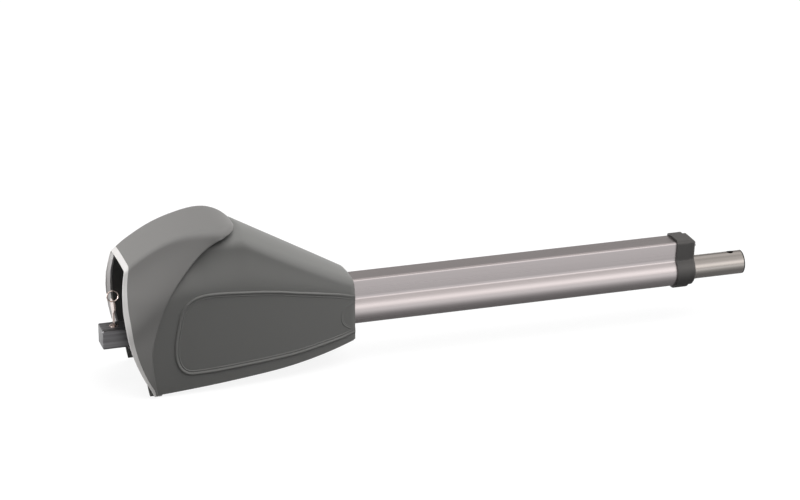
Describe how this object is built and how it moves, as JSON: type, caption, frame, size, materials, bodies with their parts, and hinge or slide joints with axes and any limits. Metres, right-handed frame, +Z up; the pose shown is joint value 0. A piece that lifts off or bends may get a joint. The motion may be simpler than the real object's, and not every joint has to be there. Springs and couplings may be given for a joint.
{
  "type": "swing gate opener",
  "caption": "Swing gate opener arm: moulded rear housing over a geared motor, keyhole profile tube, telescopic rod with an eye, tail bar with pivot bore and key release.",
  "frame": {"origin": "crossing of the rear pivot's vertical axis and the lead screw's axis", "axes": "+X along the screw from the tail to the rod's eye, +Z up along the pivot axis, +Y across"},
  "size_m": [0.8275, 0.1312, 0.1979],
  "materials": {
    "hood_plastic": "satin, fine grain",
    "trim_plastic": "satin",
    "cover_plastic": "satin, fine grain",
    "dark_plastic": "matt",
    "cast_aluminium": "fine cast",
    "anodised_aluminium": "anodised, drawn lines",
    "cap_paint": "satin",
    "motor_paint": "satin",
    "fastener_steel": "zinc plated",
    "bearing_steel": "ground",
    "gear_steel": "machined",
    "rod_steel": "ground",
    "lamination_steel": "varnished",
    "bronze": "sintered",
    "acetal": "smooth",
    "black_rubber": "matt",
    "capacitor_plastic": "smooth",
    "terminal_plastic": "smooth",
    "lock_metal": "nickel plated",
    "key_metal": "nickel plated"
  },
  "bodies": {
    "root": {"rear_hood": "hood_plastic", "rear_trim": "trim_plastic", "front_cover": "cover_plastic", "bottom_tray": "dark_plastic", "hood_screws": "fastener_steel", "tail_bar": "cast_aluminium", "tail_screws": "fastener_steel", "gear_case": "cast_aluminium", "case_gasket": "black_rubber", "case_cover": "cast_aluminium", "case_screws": "fastener_steel", "screw_rear_bearing": "bearing_steel", "screw_front_bearing": "bearing_steel", "idler_rear_bush": "bronze", "idler_front_bush": "bronze", "motor_rear_bearing": "bearing_steel", "motor_front_bearing": "bearing_steel", "motor_housing": "motor_paint", "motor_stator": "lamination_steel", "motor_end_cap": "cast_aluminium", "motor_bolts": "fastener_steel", "profile_tube": "anodised_aluminium", "tube_flange": "cast_aluminium", "flange_screws": "fastener_steel", "front_cap": "cap_paint", "cap_screws": "fastener_steel", "rod_bush": "bronze", "wiper_seal": "black_rubber", "capacitor": "capacitor_plastic", "capacitor_clip": "dark_plastic", "terminal_block": "terminal_plastic", "cable_gland": "dark_plastic"},
    "screw": {"lead_screw": "gear_steel", "screw_gear": "gear_steel", "gear_circlip": "fastener_steel"},
    "idler": {"idler_shaft": "gear_steel", "idler_gear": "gear_steel", "idler_pinion": "gear_steel"},
    "rotor": {"rotor_shaft": "gear_steel", "rotor_core": "lamination_steel", "motor_pinion": "gear_steel"},
    "rod": {"drive_nut": "bronze", "nut_guide": "acetal", "push_rod": "rod_steel", "rod_plug": "rod_steel"},
    "lock": {"lock_barrel": "lock_metal", "release_key": "key_metal"},
    "ring": {"key_ring": "key_metal"}
  },
  "joints": [
    {"name": "rod_slide", "type": "slide", "parent": "root", "child": "rod", "axis": [1, 0, 0], "range_m": [0, 0.35]},
    {"name": "rotor_spin", "type": "hinge", "parent": "root", "child": "rotor", "pos_m": [0, 0, 0.07587], "axis": [1, 0, 0], "range_deg": [0, 163650]},
    {"name": "idler_spin", "type": "hinge", "parent": "root", "child": "idler", "pos_m": [0, 0, 0.04275], "axis": [1, 0, 0], "range_deg": [-64615, 0]},
    {"name": "screw_spin", "type": "hinge", "parent": "root", "child": "screw", "pos_m": [0, 0, 0], "axis": [1, 0, 0], "range_deg": [0, 25220]},
    {"name": "key_turn", "type": "hinge", "parent": "root", "child": "lock", "pos_m": [-0.0108, 0, 0], "axis": [0, 0, 1], "range_deg": [0, 90]},
    {"name": "ring_swing", "type": "hinge", "parent": "lock", "child": "ring", "pos_m": [-0.0108, 0, 0.0428], "axis": [1, 0, 0], "range_deg": [-115, 115]}
  ],
  "couplings": [
    {"joint": "rotor_spin", "follows": "rod_slide", "rad_per_m": 8157.7},
    {"joint": "idler_spin", "follows": "rod_slide", "rad_per_m": -3220.1},
    {"joint": "screw_spin", "follows": "rod_slide", "rad_per_m": 1256.6}
  ]
}
